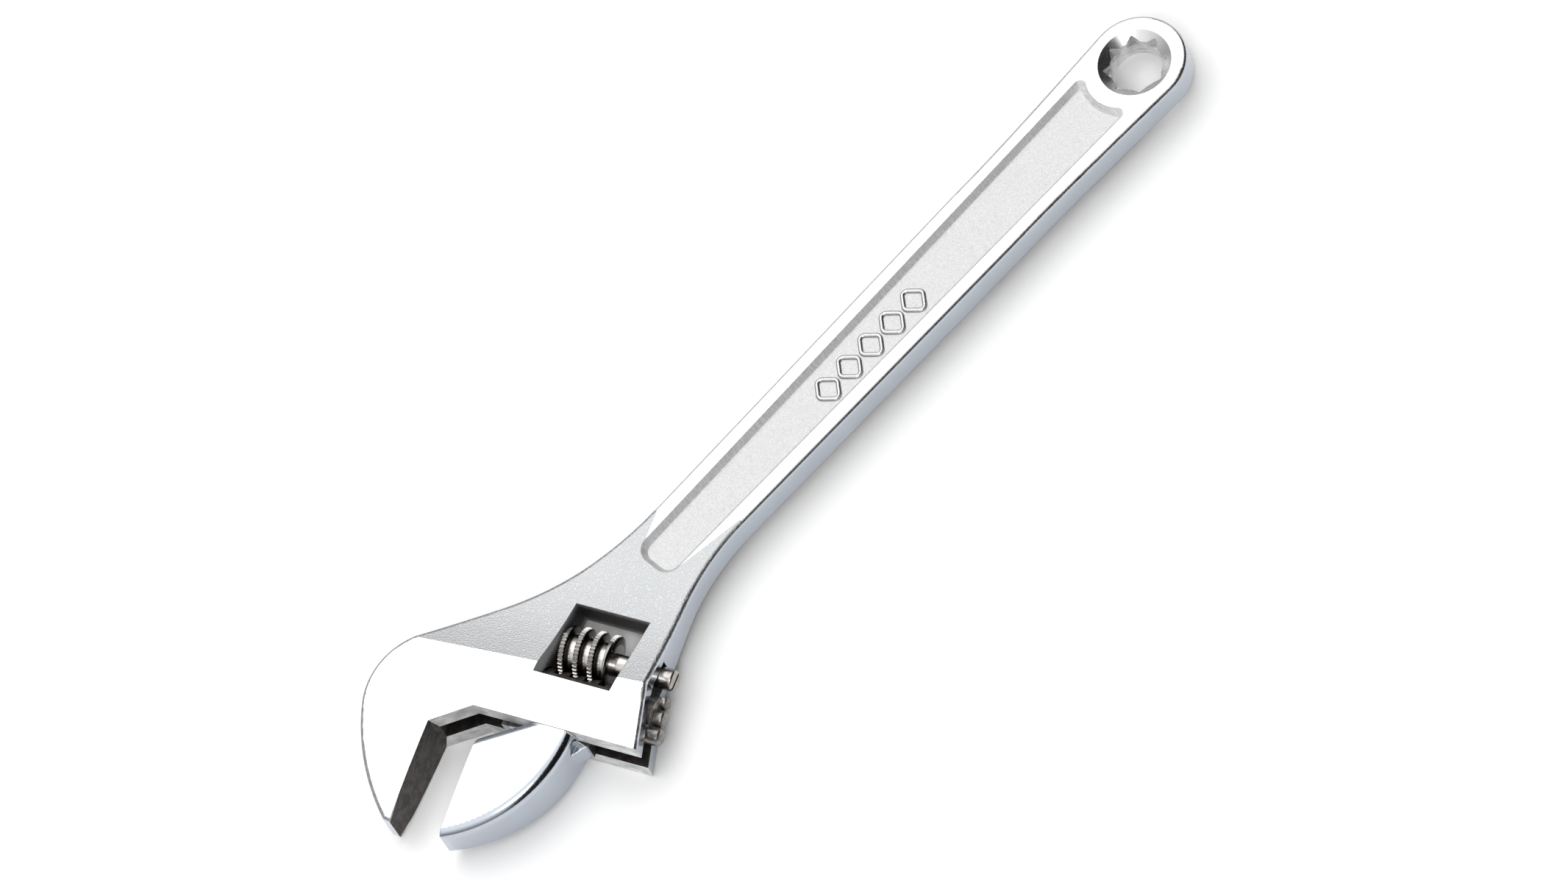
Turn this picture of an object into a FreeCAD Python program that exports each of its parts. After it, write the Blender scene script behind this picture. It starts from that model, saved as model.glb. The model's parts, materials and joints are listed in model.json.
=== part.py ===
"""Adjustable wrench, 300 mm class: forged body, movable jaw on a round rack, worm, pin, spring, washer.

Millimetres. The origin is the centre of the handle's end hole, in the forging's parting plane.
+X runs along the handle to the head, +Z out of the front face.
The head has its own axes, turned HEAD_ANGLE about Z from the throat corner: u points along the jaw
faces to the tips, s the way the movable jaw opens.
"""

import FreeCAD, Part
import math
import os

from FreeCAD import Vector

# ---- driving dimensions: handle -------------------------------------------------------------
RING_R = 14.0             # rounded end of the handle
RING_SHIFT = -0.8         # the round end's centre lies this far behind the hole
HANDLE_HALF_T = 4.6       # half the handle's thickness
HANDLE_W_MID = 12.35      # half width where the end's flare is over
HANDLE_X_MID = 60.0
HANDLE_W_NECK = 11.4      # half width where the neck begins
HANDLE_X_NECK = 167.6
RIM_ROUND = 1.3           # rounding of the forging's outer edges

# ---- driving dimensions: end hole -----------------------------------------------------------
HOLE_R = 7.4              # plain round wall
STAR_R = 8.9              # notches of the eight-point socket
STAR_POINTS = 8
STAR_PHASE = 6.5          # degrees from +X to the middle of the first notch
STAR_FLOOR_Z = 0.8        # the notches end here, above the round wall
SINK_FRONT_R = 10.3
SINK_BACK_R = 8.8

# ---- driving dimensions: handle panels ------------------------------------------------------
PANEL_ARC_R = 14.9        # the panel's end, concentric with the hole
PANEL_END_X = 190.5
PANEL_END_HALF = 6.6
PANEL_START_HALF = 9.0
PANEL_CORNER_R = 4.6
PANEL_START_CORNER_R = 1.9
PANEL_DEPTH = 1.9
PANEL_SLOPE = 1.4         # width of the panel's sloping wall

# ---- driving dimensions: head ---------------------------------------------------------------
HEAD_ANGLE = 22.5
THROAT = Vector(261.6, -13.9, 0)
HEAD_HALF_T = 8.6         # half the head's thickness at the ground faces
SLIDE_U = -7.5            # underside of the head that the jaw slides along
THROAT_S = 10.5           # the sloping throat starts here on the underside
JAW_TIP_U = 29.2
TAPER_R = 228.0           # the ground faces curve in to thinner tips
END_CORNER = (SLIDE_U, 59.3)
END_KNEE = (-27.0, 54.2)
HEAD_BACK_CENTRE = (-6.2, -0.5)   # round back of the head
HEAD_BACK_R = 20.9
NECK_LEAN = 128.0         # degrees from u of the neck's lower edge where it leaves the round back
JAW_BACK_START = -73.0    # degrees round the back where the fixed jaw's own back begins
JAW_BACK_TIP = (28.9, -2.2)
GROUND_CORNER = (-21.6, -15.0)    # a point of the ground face's border
NECK_TOP_R = 73.0
NECK_BOTTOM_R = 95.0
RAMP_LENGTH = 32.0        # blend from the handle's thickness up to the ground face
RAMP_SKEW = 3.7           # degrees that the ground face's border leans from the s axis
HEAD_BACK_ROUND = 1.2     # rounding of the ground faces' edges along the head's back

# ---- driving dimensions: window, bore and slot ----------------------------------------------
WINDOW_U = (-44.1, -21.8)
WINDOW_TOP_S = (47.0, 44.4)     # at the left and right wall
WINDOW_BOTTOM_S = (24.8, 23.5)
MOUTH_FLARE = 1.0         # the window widens to its mouth by this much, half of it at the slide's side
MOUTH_DEPTH = 3.4
RACK_AXIS_U = -21.0
RACK_R = 5.2
BORE_R = 5.35
BORE_BLIND_S = -5.2
SLOT_HALF = 3.2
SLOT_END_S = 1.4
GROOVE_TOP_U = -35.2      # the slot carries on up the end face as a shallow groove
GROOVE_DEPTH = 3.0

# ---- driving dimensions: worm and rack ------------------------------------------------------
WORM_U = -31.9
LEAD = 4.4                # one start, right hand
WORM_R = 8.0
WORM_ROOT_R = 5.3
CREST_WIDTH = 1.5
FLANK = math.radians(14.5)
WORM_S = (25.7, 40.5)     # threaded length
HUB_R = 3.2
HUB_END_S = 45.0
CREST_S = 27.9            # a crest faces the rack here
WORM_CHAMFER = 0.5
PIN_R = 2.0
PIN_CLEARANCE = 0.05
PIN_SEAT_CLEARANCE = 0.03
PIN_END_S = 13.0
PIN_HEAD_R = 3.05
PIN_HEAD_TOP_S = 58.2
SCREW_SLOT = (0.9, 1.1)   # width, depth
SPRING_WIRE_R = 0.35
SPRING_R = 2.75
SPRING_TURNS = 5
SPRING_POCKET_R = 3.35
SPRING_POCKET_DEPTH = 7.5
WASHER_R = 4.0
WASHER_S = (24.45, 25.55)

# ---- driving dimensions: movable jaw --------------------------------------------------------
JAW_GAP = 15.0            # opening at rest
SLIDE_CLEARANCE = 0.15
JAW_HEEL_U = 0.3          # where the working face ends at the throat
JAW_SHOULDER_S = (26.8, 40.4)
JAW_OUTER_MID = (14.0, 34.0)
JAW_OUTER_TIP = (28.9, 16.9)
JAW_OUTER_ROUND = 3.0
WEB_HALF = 3.0
WEB_S = (17.6, 43.8)
WEB_FOOT = ((-2.9, 40.2), (1.6, 38.6))   # the web's end runs out into the jaw's back
RACK_START_S = 11.0
RACK_TOOTH_FREE = 0.2     # clearance on each flank
RACK_TIP_FREE = 0.3
TAIL_CREST = (-20.5, 60.0)  # middle knob of the rack's end
TAIL_RAKE = 0.19          # the knobs step out with the slanting end face
TAIL_PITCH = 5.1
TAIL_KNOBS = 3
TAIL_KNOB_R = 2.45
TAIL_KNOB_ROUND = 1.0
TAIL_VALLEY = 2.6
TAIL_OUTER_U = -13.0

UP = Vector(0, 0, 1)
COS, SIN = math.cos(math.radians(HEAD_ANGLE)), math.sin(math.radians(HEAD_ANGLE))
HEAD_PLACE = FreeCAD.Placement(THROAT, FreeCAD.Rotation(UP, HEAD_ANGLE))
THROUGH = 60.0            # taller than the whole wrench, for cutting right through


def head(u, s, z=0.0):
    """A point of the head's axes in the wrench's frame."""
    return THROAT + Vector(u * COS - s * SIN, u * SIN + s * COS, z)


def line(a, b):
    return Part.LineSegment(a, b).toShape()


def arc(a, middle, b):
    return Part.Arc(a, middle, b).toShape()


def prism(wire, low, high):
    """A flat outline in the plane z = 0, raised from low to high."""
    face = Part.Face(wire)
    face.translate(Vector(0, 0, low))
    return face.extrude(Vector(0, 0, high - low))


def in_head(shape):
    """Moves a shape drawn with x = u and y = s into the head's place."""
    shape = shape.copy()
    shape.Placement = HEAD_PLACE.multiply(shape.Placement)
    return shape


def along_s(radius, u, start, end, z=0.0):
    """A cylinder along the head's s axis, drawn in the head's axes."""
    return Part.makeCylinder(radius, end - start, Vector(u, start, z), Vector(0, 1, 0))


def bar(u, s, z):
    """A box drawn in the head's axes from its (low, high) pairs."""
    return Part.makeBox(u[1] - u[0], s[1] - s[0], z[1] - z[0], Vector(u[0], s[0], z[0]))


def fillet_point(corner, to_a, to_b, radius):
    """Start, middle and end of the arc that rounds a corner between two directions."""
    a, b = (to_a - corner).normalize(), (to_b - corner).normalize()
    half = a.getAngle(b) / 2
    reach = radius / math.tan(half)
    middle = (a + b).normalize()
    centre = corner + middle * (radius / math.sin(half))
    return corner + a * reach, centre - middle * radius, corner + b * reach


# ---- body -----------------------------------------------------------------------------------
def handle_edge(side):
    """The ring's tangent point and the flared stretch beside it, on the +Y or -Y side."""
    slope = (HANDLE_W_MID - HANDLE_W_NECK) / (HANDLE_X_NECK - HANDLE_X_MID)
    leave = math.radians(2.2)
    start = Vector(RING_SHIFT + RING_R * math.sin(leave), side * RING_R * math.cos(leave), 0)
    end = Vector(HANDLE_X_MID, side * HANDLE_W_MID, 0)
    reach = HANDLE_X_MID / 3
    flare = Part.BezierCurve()
    flare.setPoles([
        start,
        start + Vector(reach, -side * reach * math.tan(leave), 0),
        end - Vector(reach, side * reach * slope, 0),
        end,
    ])
    return start, end, flare.toShape()


def head_back():
    """The round back and the fixed jaw's back: two tangent arcs, and where the neck's edge starts."""
    centre = Vector(*HEAD_BACK_CENTRE, 0)

    def on_circle(degrees):
        a = math.radians(degrees)
        return centre + Vector(math.cos(a), math.sin(a), 0) * HEAD_BACK_R

    leave, start = NECK_LEAN + 90, 360 + JAW_BACK_START
    round_back = [on_circle(d) for d in (start, (start + leave) / 2, leave)]
    low, tip = round_back[0], Vector(*JAW_BACK_TIP, 0)
    chord = tip - low
    tangent = Vector(math.cos(math.radians(start + 90)), math.sin(math.radians(start + 90)), 0)
    turn = tangent.getAngle(chord)
    sagitta = chord.Length / 2 * math.tan(turn / 2)
    outward = Vector(chord.y, -chord.x, 0).normalize()
    jaw_back = [low, (low + tip) / 2 + outward * sagitta, tip]
    return [[head(p.x, p.y) for p in points] for points in (round_back, jaw_back)]


def body_outline():
    """The forging seen from the front, as one closed wire."""
    top_start, top_mid, top_flare = handle_edge(1)
    low_start, low_mid, low_flare = handle_edge(-1)
    slope = Vector(HANDLE_X_NECK - HANDLE_X_MID, HANDLE_W_NECK - HANDLE_W_MID, 0).normalize()
    knee = head(*END_KNEE)
    # the top neck turns from the handle's edge to the u direction
    u_way = Vector(COS, SIN, 0)
    edge = top_mid
    k = ((knee - edge).cross(u_way)).z / (slope.cross(u_way)).z
    top_corner = edge + slope * k
    t0, t1, t2 = fillet_point(top_corner, top_mid, knee, NECK_TOP_R)
    # the bottom neck turns from the handle's edge to the head's round back
    round_back, jaw_back = head_back()
    back = round_back[2]
    low_slope = Vector(slope.x, -slope.y, 0)
    lean = math.radians(HEAD_ANGLE + NECK_LEAN)
    neck_way = Vector(math.cos(lean), math.sin(lean), 0)
    low_corner = low_mid + low_slope * ((back - low_mid).cross(neck_way).z / low_slope.cross(neck_way).z)
    b0, b1, b2 = fillet_point(low_corner, low_mid, back, NECK_BOTTOM_R)
    tip = head(JAW_TIP_U, 0)
    edges = [
        top_flare,
        line(top_mid, t0), arc(t0, t1, t2), line(t2, knee),
        line(knee, head(*END_CORNER)),
        line(head(*END_CORNER), head(SLIDE_U, THROAT_S)),
        line(head(SLIDE_U, THROAT_S), head(0, 0)),
        line(head(0, 0), tip),
        line(tip, jaw_back[2]), arc(*jaw_back), arc(*round_back),
        line(back, b2), arc(b2, b1, b0), line(b0, low_mid),
        low_flare,
        arc(low_start, Vector(RING_SHIFT - RING_R, 0, 0), top_start),
    ]
    return Part.Wire(Part.__sortEdges__(edges))


def thickness_envelope():
    """Ground faces, the ramp down to the handle and the handle's flat faces, as one long block."""
    rise = HEAD_HALF_T - HANDLE_HALF_T
    radius = (RAMP_LENGTH ** 2 + rise ** 2) / (2 * rise)
    middle_v = RAMP_LENGTH / 2
    middle_z = HANDLE_HALF_T + radius - math.sqrt(radius ** 2 - (RAMP_LENGTH - middle_v) ** 2)
    far_v, near_v = 330.0, -90.0

    def half(sign):
        """Points of one face: x runs away from the ground face's border to the handle."""
        return [Vector(v, 0, sign * z) for v, z in (
            (near_v, HEAD_HALF_T), (0, HEAD_HALF_T), (middle_v, middle_z),
            (RAMP_LENGTH, HANDLE_HALF_T), (far_v, HANDLE_HALF_T))]

    f, b = half(1), half(-1)
    profile = Part.Wire([
        line(f[0], f[1]), arc(f[1], f[2], f[3]), line(f[3], f[4]), line(f[4], b[4]),
        line(b[4], b[3]), arc(b[3], b[2], b[1]), line(b[1], b[0]), line(b[0], f[0]),
    ])
    block = Part.Face(profile).extrude(Vector(0, 400, 0))
    block.translate(Vector(0, -200, 0))
    # x of the profile points from the head back to the handle
    turn = FreeCAD.Rotation(UP, 180 + HEAD_ANGLE + RAMP_SKEW)
    block.Placement = FreeCAD.Placement(head(*GROUND_CORNER), turn).multiply(block.Placement)
    return block


def taper_envelope(u_back):
    """Full thickness back to u_back, curving in to the thinner tips. Drawn in the head's axes."""
    start, end = SLIDE_U, 40.0

    def height(u):
        return HEAD_HALF_T - TAPER_R + math.sqrt(TAPER_R ** 2 - (u - start) ** 2)

    middle = (start + end) / 2
    points = [(u_back, HEAD_HALF_T), (start, HEAD_HALF_T), (middle, height(middle)), (end, height(end))]
    f = [Vector(u, 0, z) for u, z in points]
    b = [Vector(u, 0, -z) for u, z in points]
    profile = Part.Wire([
        line(f[0], f[1]), arc(f[1], f[2], f[3]), line(f[3], b[3]),
        arc(b[3], b[2], b[1]), line(b[1], b[0]), line(b[0], f[0]),
    ])
    block = Part.Face(profile).extrude(Vector(0, 320, 0))
    block.translate(Vector(0, -160, 0))
    return block


def edges_where(shape, test):
    """Edges whose middle point and direction pass a test."""
    found = []
    for edge in shape.Edges:
        first, last = edge.FirstParameter, edge.LastParameter
        point = edge.valueAt((first + last) / 2)
        if test(edge, point):
            found.append(edge)
    return found


def to_head(point):
    """(u, s) of a point of the wrench's frame."""
    d = point - THROAT
    return d.x * COS + d.y * SIN, -d.x * SIN + d.y * COS


def is_rim(edge, point):
    """An outline edge on the front or back, on the handle, ring, neck or the back of the head."""
    u, s = to_head(point)
    if abs(point.z) < HANDLE_HALF_T - 0.01 or edge.Length < 0.5:
        return False
    ends = [v.Point.z for v in edge.Vertexes]
    if len(ends) == 2 and ends[0] * ends[1] < 0:
        return False
    inside = (u > SLIDE_U - 0.5 and s > -0.5) or (s > 50 and u > END_KNEE[0] + 0.5)
    crosses = abs(point.z) > HEAD_HALF_T - 0.01 and s > GROUND_CORNER[1] + 3
    flat_join = abs(abs(point.z) - HANDLE_HALF_T) < 0.01 and abs(point.y) < 9 and point.x > 150
    return not (inside or crosses or flat_join)


def panel_cutter():
    """The sloping-walled panel, to be cut from the front face."""
    def outline(inset, z):
        r = PANEL_ARC_R + inset
        half_a = PANEL_START_HALF - inset
        half_b = PANEL_END_HALF - inset
        end_x = PANEL_END_X - inset
        x_a = math.sqrt(r ** 2 - half_a ** 2)
        top_a, top_b = Vector(x_a, half_a, z), Vector(end_x, half_b, z)
        low_a, low_b = Vector(x_a, -half_a, z), Vector(end_x, -half_b, z)
        near_r = max(PANEL_START_CORNER_R - inset, 0.3)
        far_r = PANEL_CORNER_R - inset
        inward_top = Vector(r, 0, z)
        p0, p1, p2 = fillet_point(top_a, top_b, inward_top, near_r)
        q0, q1, q2 = fillet_point(low_a, low_b, inward_top, near_r)
        r0, r1, r2 = fillet_point(top_b, top_a, low_b, far_r)
        s0, s1, s2 = fillet_point(low_b, low_a, top_b, far_r)
        return Part.Wire([
            line(p0, r0), arc(r0, r1, r2), line(r2, s2), arc(s2, s1, s0),
            line(s0, q0), arc(q0, q1, q2), arc(q2, Vector(r, 0, z), p2), arc(p2, p1, p0),
        ])

    top = HANDLE_HALF_T
    above = 0.5
    grow = -PANEL_SLOPE * above / PANEL_DEPTH
    return Part.makeLoft([outline(grow, top + above), outline(PANEL_SLOPE, top - PANEL_DEPTH)], True, True)


def end_hole():
    """Round hole, eight-point socket in its front half, and the two countersinks."""
    hole = Part.makeCylinder(HOLE_R, THROUGH, Vector(0, 0, -THROUGH / 2))
    top = HANDLE_HALF_T
    # each point of the socket is a square corner: two crossed squares
    corner_r = 0.5
    side = (STAR_R - corner_r) * math.sqrt(2) + 2 * corner_r
    for turn in range(STAR_POINTS // 4):
        square = Part.makeBox(side, side, THROUGH, Vector(-side / 2, -side / 2, STAR_FLOOR_Z))
        square = square.makeFillet(corner_r, edges_where(
            square, lambda e, p: abs(p.x) > side / 2 - 0.01 and abs(p.y) > side / 2 - 0.01))
        square.rotate(Vector(0, 0, 0), UP, STAR_PHASE + turn * 360 / STAR_POINTS)
        hole = hole.fuse(square)
    front_drop = SINK_FRONT_R - HOLE_R
    sink = Part.makeCone(HOLE_R, SINK_FRONT_R + 1, front_drop * 0.75 + 0.75, Vector(0, 0, top - front_drop * 0.75))
    back_drop = (SINK_BACK_R - HOLE_R) * 0.75
    back = Part.makeCone(SINK_BACK_R + 1, HOLE_R, back_drop + 0.75, Vector(0, 0, -top - 0.75))
    return hole.fuse([sink, back])


def window():
    """The worm's opening with its flared mouths, drawn in the head's axes."""
    def outline(grow, z):
        left, right = WINDOW_U[0] - grow, WINDOW_U[1] + grow / 2
        corners = [Vector(left, WINDOW_BOTTOM_S[0] - grow, z), Vector(right, WINDOW_BOTTOM_S[1] - grow, z),
                   Vector(right, WINDOW_TOP_S[1] + grow, z), Vector(left, WINDOW_TOP_S[0] + grow, z)]
        return Part.makePolygon(corners + corners[:1])

    opening = prism(outline(0, 0), -THROUGH / 2, THROUGH / 2)
    mouths = [Part.makeLoft([outline(0, side * (HEAD_HALF_T - MOUTH_DEPTH)),
                             outline(MOUTH_FLARE, side * HEAD_HALF_T),
                             outline(MOUTH_FLARE, side * (HEAD_HALF_T + 1))], True, True)
              for side in (1, -1)]
    return opening.fuse(mouths)


def jaw_ways():
    """Bore and slot that the rack and web run in, the end face's groove and the pin's hole."""
    beyond = 90.0
    bore = along_s(BORE_R, RACK_AXIS_U, BORE_BLIND_S, beyond)
    drill_point = Part.makeCone(0.1, BORE_R, BORE_R / math.sqrt(3),
                                Vector(RACK_AXIS_U, BORE_BLIND_S - BORE_R / math.sqrt(3), 0), Vector(0, 1, 0))
    slot = bar((RACK_AXIS_U, 5.0), (SLOT_END_S, beyond), (-SLOT_HALF, SLOT_HALF))
    # the groove follows the slanting end face
    knee, corner = END_KNEE, END_CORNER
    floor = [Vector(GROOVE_TOP_U, knee[1] - GROOVE_DEPTH, 0), Vector(knee[0], knee[1] - GROOVE_DEPTH, 0),
             Vector(corner[0] + 2, corner[1] - GROOVE_DEPTH, 0), Vector(corner[0] + 2, beyond, 0),
             Vector(GROOVE_TOP_U, beyond, 0)]
    groove = prism(Part.makePolygon(floor + floor[:1]), -SLOT_HALF, SLOT_HALF)
    pin_hole = along_s(PIN_R + PIN_SEAT_CLEARANCE, WORM_U, PIN_END_S, beyond)
    return bore.fuse([drill_point, slot, groove, pin_hole])


def forged_body():
    blank = prism(body_outline(), -HEAD_HALF_T - 1, HEAD_HALF_T + 1)
    blank = blank.common(thickness_envelope()).common(in_head(taper_envelope(-340.0)))
    blank = blank.removeSplitter()
    blank = blank.makeFillet(RIM_ROUND, edges_where(
        blank, lambda e, p: is_rim(e, p) and e.BoundBox.XMax < THROAT.x))
    blank = blank.makeFillet(HEAD_BACK_ROUND, edges_where(
        blank, lambda e, p: is_rim(e, p) and e.BoundBox.XMax > THROAT.x))
    front = panel_cutter()
    back = front.copy()
    back.rotate(Vector(0, 0, 0), Vector(1, 0, 0), 180)
    blank = blank.cut([front, back, end_hole()])
    return blank.cut([in_head(window()), in_head(jaw_ways())])


# ---- worm, rack and movable jaw -------------------------------------------------------------
def worm_groove():
    """The groove between the worm's crests, swept along +Z with its middle at z = 0 on the +X side."""
    over = 1.0
    turns = math.ceil((WORM_S[1] - WORM_S[0]) / LEAD) + 2
    foot = (LEAD - CREST_WIDTH) / 2 - (WORM_R - WORM_ROOT_R) * math.tan(FLANK)
    top = (LEAD - CREST_WIDTH) / 2 + over * math.tan(FLANK)
    inner, outer = WORM_ROOT_R, WORM_R + over
    profile = Part.makePolygon([
        Vector(inner, 0, -foot), Vector(outer, 0, -top), Vector(outer, 0, top), Vector(inner, 0, foot),
        Vector(inner, 0, -foot)])
    helix = Part.makeLongHelix(LEAD, turns * LEAD, inner)
    return Part.Wire(helix.Edges).makePipeShell([profile], True, True)


def worm():
    """Threaded barrel, hub, pin bore and spring pocket."""
    start, end = WORM_S
    groove = worm_groove()
    # z becomes s, and x stays u: the groove is in the middle between two crests on the rack's side
    groove.Placement = FreeCAD.Placement(Vector(0, 0, 0), FreeCAD.Rotation(Vector(1, 0, 0), -90))
    below = CREST_S + LEAD / 2 - (math.ceil((CREST_S - start) / LEAD) + 1) * LEAD
    groove.translate(Vector(WORM_U, below, 0))
    barrel = along_s(WORM_R, WORM_U, start, end)
    barrel = barrel.makeChamfer(WORM_CHAMFER, [e for e in barrel.Edges if len(e.Vertexes) == 1])
    hub = along_s(HUB_R, WORM_U, end - 1, HUB_END_S)
    bore = along_s(PIN_R + PIN_CLEARANCE, WORM_U, start - 1, HUB_END_S + 1)
    pocket = along_s(SPRING_POCKET_R, WORM_U, start - 1, start + SPRING_POCKET_DEPTH)
    return in_head(barrel.cut(groove).fuse(hub).removeSplitter().cut([bore, pocket]))


def pin():
    """Plain shank with a slotted head that stands in the end face's groove."""
    seat = END_KNEE[1] - GROOVE_DEPTH
    shank = along_s(PIN_R, WORM_U, PIN_END_S + 0.3, seat + 0.5)
    shank = shank.makeChamfer(0.5, [e for e in shank.Edges if len(e.Vertexes) == 1
                                    and e.CenterOfMass.y < PIN_END_S + 1])
    cap = along_s(PIN_HEAD_R, WORM_U, seat, PIN_HEAD_TOP_S)
    cap = cap.makeFillet(0.9, [e for e in cap.Edges if len(e.Vertexes) == 1 and e.CenterOfMass.y > seat + 1])
    width, deep = SCREW_SLOT
    cut = bar((WORM_U - 5, WORM_U + 5), (PIN_HEAD_TOP_S - deep, PIN_HEAD_TOP_S + 1), (-width / 2, width / 2))
    return in_head(cap.fuse(shank).cut(cut))


def spring():
    """Friction spring round the pin, in the worm's pocket."""
    free = 0.1
    low = WASHER_S[1] + SPRING_WIRE_R + free
    high = WORM_S[0] + SPRING_POCKET_DEPTH - SPRING_WIRE_R - free
    helix = Part.makeHelix((high - low) / SPRING_TURNS, high - low, SPRING_R)
    section = Part.Wire(Part.makeCircle(SPRING_WIRE_R, Vector(SPRING_R, 0, 0), Vector(0, 1, 0)))
    coil = Part.Wire(helix.Edges).makePipeShell([section], True, True)
    coil.Placement = FreeCAD.Placement(Vector(WORM_U, low, 0), FreeCAD.Rotation(Vector(1, 0, 0), -90))
    return in_head(coil)


def washer():
    low, high = WASHER_S
    disc = along_s(WASHER_R, WORM_U, low, high)
    disc = disc.makeChamfer(0.3, [e for e in disc.Edges if len(e.Vertexes) == 1])
    return in_head(disc.cut(along_s(PIN_R + PIN_CLEARANCE, WORM_U, low - 1, high + 1)))


def rack_groove():
    """One groove between two rack teeth, centred on s = 0 and leaning by the thread's lead angle."""
    tip_u = WORM_U + WORM_ROOT_R + RACK_TIP_FREE
    root_u = WORM_U + WORM_R + RACK_TIP_FREE
    free = RACK_TOOTH_FREE / math.cos(FLANK)
    root_half = CREST_WIDTH / 2 + free - (root_u - WORM_U - WORM_R) * math.tan(FLANK)
    above = 3.0
    top_half = root_half + (root_u - tip_u + above) * math.tan(FLANK)
    wide = 14.0
    corners = [Vector(root_u, -root_half, -wide), Vector(root_u, root_half, -wide),
               Vector(tip_u - above, top_half, -wide), Vector(tip_u - above, -top_half, -wide)]
    groove = Part.Face(Part.makePolygon(corners + corners[:1])).extrude(Vector(0, 0, 2 * wide))
    mesh_r = (WORM_R + WORM_ROOT_R) / 2
    lead_angle = math.degrees(math.atan(LEAD / (2 * math.pi * mesh_r)))
    groove.rotate(Vector(0, 0, 0), Vector(1, 0, 0), lead_angle)
    return groove


def rack():
    """Round rack with teeth towards the worm and a knobbed end, drawn in the head's axes."""
    tip_u = WORM_U + WORM_ROOT_R + RACK_TIP_FREE
    crest_u, crest_s = TAIL_CREST
    rod = along_s(RACK_R, RACK_AXIS_U, RACK_START_S, crest_s + 4)
    rod = rod.makeChamfer(0.8, [e for e in rod.Edges if len(e.Vertexes) == 1
                                and e.CenterOfMass.y < RACK_START_S + 1])
    flat = bar((-40, tip_u), (0, 90), (-10, 10))
    grooves = []
    k = math.floor((RACK_START_S - CREST_S) / LEAD)
    while CREST_S + k * LEAD < crest_s - TAIL_VALLEY - 1:
        groove = rack_groove()
        groove.translate(Vector(0, CREST_S + k * LEAD, 0))
        grooves.append(groove)
        k += 1
    # the end: round knobs, stepping out with the end face, no wider than the bore and slot let them be
    foot_s = crest_s - TAIL_VALLEY
    rod = rod.common(bar((-40, 0), (0, foot_s), (-12, 12)))
    knobs = []
    for i in range(TAIL_KNOBS):
        u = crest_u + (i - (TAIL_KNOBS - 1) / 2) * TAIL_PITCH
        top = crest_s + (u - crest_u) * TAIL_RAKE
        knob = along_s(TAIL_KNOB_R, u, foot_s - 1, top)
        rim = [e for e in knob.Edges if len(e.Vertexes) == 1 and e.CenterOfMass.y > foot_s]
        knobs.append(knob.makeFillet(TAIL_KNOB_ROUND, rim))
    room = along_s(RACK_R, RACK_AXIS_U, foot_s - 1, crest_s + 4)
    room = room.fuse(bar((RACK_AXIS_U, TAIL_OUTER_U), (foot_s - 1, crest_s + 4), (-WEB_HALF, WEB_HALF)))
    end = knobs[0].fuse(knobs[1:]).common(room)
    return rod.fuse(end).cut([flat] + grooves)


def movable_jaw():
    """Jaw, web and rack in one forging."""
    top_u = SLIDE_U + SLIDE_CLEARANCE
    heel = Vector(JAW_HEEL_U, JAW_GAP, 0)
    low = Vector(top_u, JAW_SHOULDER_S[0], 0)
    high = Vector(top_u, JAW_SHOULDER_S[1], 0)
    tip = Vector(JAW_TIP_U, JAW_GAP, 0)
    knuckle = Vector(*JAW_OUTER_TIP, 0)
    outline = Part.Wire([
        line(heel, low), line(low, high), arc(high, Vector(*JAW_OUTER_MID, 0), knuckle),
        line(knuckle, tip), line(tip, heel),
    ])
    block = prism(outline, -HEAD_HALF_T - 1, HEAD_HALF_T + 1).common(taper_envelope(-40.0)).removeSplitter()

    def is_outer(edge, point):
        on_face = abs(point.z) > HEAD_HALF_T - 3.5 and len(edge.Vertexes) == 2
        level = abs(edge.Vertexes[0].Point.z - edge.Vertexes[-1].Point.z) < 4
        same_side = edge.Vertexes[0].Point.z * edge.Vertexes[-1].Point.z > 0
        return on_face and level and same_side and point.y > JAW_GAP + 2 and point.x > top_u + 1 \
            and edge.Length > 10 and point.y > 20

    block = block.makeFillet(JAW_OUTER_ROUND, edges_where(block, is_outer))
    web = bar((RACK_AXIS_U, top_u + 1), WEB_S, (-WEB_HALF, WEB_HALF))
    foot = [Vector(top_u, WEB_S[0], 0), Vector(top_u, WEB_S[1], 0)] + [Vector(u, s, 0) for u, s in WEB_FOOT]
    gusset = prism(Part.makePolygon(foot + foot[:1]), -WEB_HALF, WEB_HALF)
    return in_head(block.fuse([web, gusset, rack()]).removeSplitter())


def save(name, shape):
    solids = shape.Solids
    valid = shape.isValid()
    box = shape.BoundBox
    print(f"{name}: solids {len(solids)}, valid {valid}, volume {shape.Volume:.1f} mm3,"
          f" x {box.XMin:.2f}..{box.XMax:.2f}, y {box.YMin:.2f}..{box.YMax:.2f}, z {box.ZMin:.2f}..{box.ZMax:.2f}")
    if len(solids) == 1:
        shape = solids[0]
    shape.exportStep(f"parts/{name}.step")


def main():
    os.makedirs("parts", exist_ok=True)
    save("forged_body", forged_body())
    save("movable_jaw", movable_jaw())
    save("worm", worm())
    save("worm_pin", pin())
    save("worm_spring", spring())
    save("thrust_washer", washer())


main()
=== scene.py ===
"""Looks of an adjustable wrench: its finishes, the worm's thread and knurl, the panel's relief, a stage."""

import json
import math

import bmesh
import bpy
from mathutils import Matrix, Vector


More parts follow.
